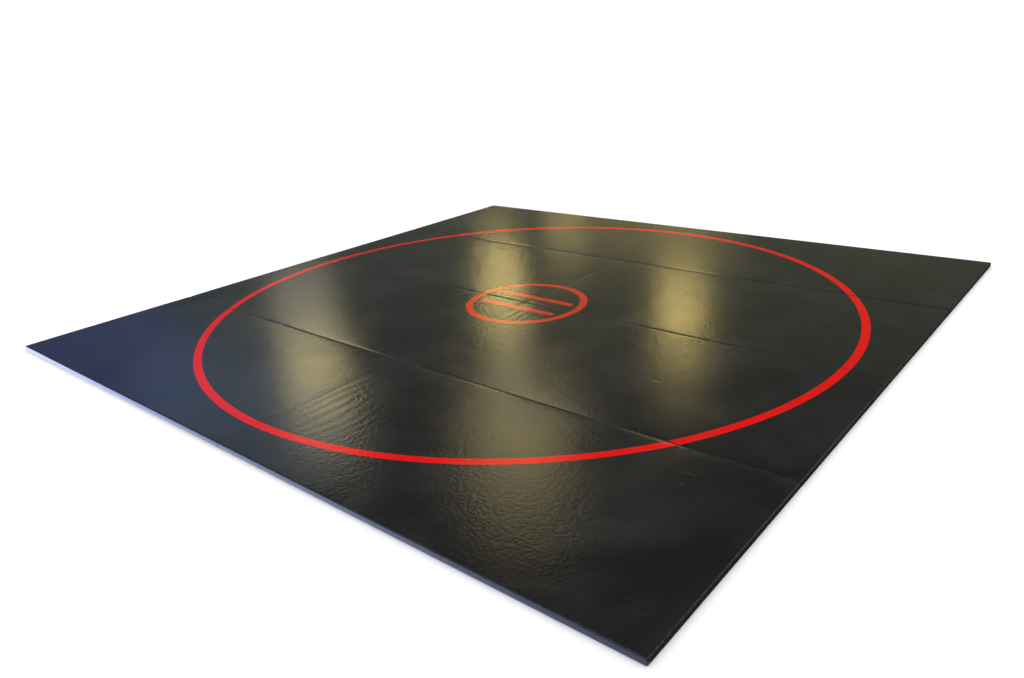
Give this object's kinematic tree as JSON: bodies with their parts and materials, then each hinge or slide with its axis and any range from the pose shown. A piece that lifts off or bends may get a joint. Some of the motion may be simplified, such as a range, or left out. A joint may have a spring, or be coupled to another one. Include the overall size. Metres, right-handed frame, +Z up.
{
  "type": "folding wrestling mat",
  "caption": "Square wrestling mat of black vinyl over foam, in strips that pull apart and fold in two, with painted red outer ring, centre circle and starting lines.",
  "frame": {"origin": "centre of the underside, on the floor", "axes": "+Z up through the thickness; +X along the strips, across the fold; +Y across the strips, front to back"},
  "size_m": [4.8768, 4.8768, 0.032],
  "materials": {
    "black_vinyl": "gloss",
    "underside_vinyl": "matte",
    "foam": "matte",
    "red_paint": "gloss",
    "hook_tape": "matte",
    "loop_tape": "matte",
    "web_fabric": "satin"
  },
  "bodies": {
    "strip_1_left": {"foam_core_1_left": "foam", "top_cover_1_left": "black_vinyl", "under_cover_1_left": "underside_vinyl", "ring_mark_1_left": "red_paint", "hook_tape_1_left": "hook_tape"},
    "strip_1_right": {"foam_core_1_right": "foam", "top_cover_1_right": "black_vinyl", "under_cover_1_right": "underside_vinyl", "ring_mark_1_right": "red_paint", "hook_tape_1_right": "hook_tape", "fold_web_1": "web_fabric"},
    "strip_2_left": {"foam_core_2_left": "foam", "top_cover_2_left": "black_vinyl", "under_cover_2_left": "underside_vinyl", "ring_mark_2_left": "red_paint", "hook_tape_2_left": "hook_tape", "loop_tape_2_left": "loop_tape", "circle_mark_2_left": "red_paint", "start_line_2_left": "red_paint"},
    "strip_2_right": {"foam_core_2_right": "foam", "top_cover_2_right": "black_vinyl", "under_cover_2_right": "underside_vinyl", "ring_mark_2_right": "red_paint", "hook_tape_2_right": "hook_tape", "loop_tape_2_right": "loop_tape", "circle_mark_2_right": "red_paint", "start_line_2_right": "red_paint", "fold_web_2": "web_fabric"},
    "strip_3_left": {"foam_core_3_left": "foam", "top_cover_3_left": "black_vinyl", "under_cover_3_left": "underside_vinyl", "ring_mark_3_left": "red_paint", "hook_tape_3_left": "hook_tape", "loop_tape_3_left": "loop_tape", "circle_mark_3_left": "red_paint", "start_line_3_left": "red_paint"},
    "strip_3_right": {"foam_core_3_right": "foam", "top_cover_3_right": "black_vinyl", "under_cover_3_right": "underside_vinyl", "ring_mark_3_right": "red_paint", "hook_tape_3_right": "hook_tape", "loop_tape_3_right": "loop_tape", "circle_mark_3_right": "red_paint", "start_line_3_right": "red_paint", "fold_web_3": "web_fabric"},
    "strip_4_left": {"foam_core_4_left": "foam", "top_cover_4_left": "black_vinyl", "under_cover_4_left": "underside_vinyl", "ring_mark_4_left": "red_paint", "loop_tape_4_left": "loop_tape"},
    "strip_4_right": {"foam_core_4_right": "foam", "top_cover_4_right": "black_vinyl", "under_cover_4_right": "underside_vinyl", "ring_mark_4_right": "red_paint", "loop_tape_4_right": "loop_tape", "fold_web_4": "web_fabric"}
  },
  "joints": [
    {"name": "part_strip_1", "type": "slide", "parent": "strip_2_right", "child": "strip_1_right", "axis": [0, -1, 0], "range_m": [0, 0.3]},
    {"name": "part_strip_3", "type": "slide", "parent": "strip_2_right", "child": "strip_3_right", "axis": [0, 1, 0], "range_m": [0, 0.3]},
    {"name": "part_strip_4", "type": "slide", "parent": "strip_3_right", "child": "strip_4_right", "axis": [0, 1, 0], "range_m": [0, 0.3]},
    {"name": "fold_strip_1", "type": "hinge", "parent": "strip_1_right", "child": "strip_1_left", "pos_m": [0, -1.8288, 0.03275], "axis": [0, 1, 0], "range_deg": [0, 180], "deforming": ["fold_web_1"]},
    {"name": "fold_strip_2", "type": "hinge", "parent": "strip_2_right", "child": "strip_2_left", "pos_m": [0, -0.6096, 0.03275], "axis": [0, 1, 0], "range_deg": [0, 180], "deforming": ["fold_web_2"]},
    {"name": "fold_strip_3", "type": "hinge", "parent": "strip_3_right", "child": "strip_3_left", "pos_m": [0, 0.6096, 0.03275], "axis": [0, 1, 0], "range_deg": [0, 180], "deforming": ["fold_web_3"]},
    {"name": "fold_strip_4", "type": "hinge", "parent": "strip_4_right", "child": "strip_4_left", "pos_m": [0, 1.8288, 0.03275], "axis": [0, 1, 0], "range_deg": [0, 180], "deforming": ["fold_web_4"]}
  ]
}
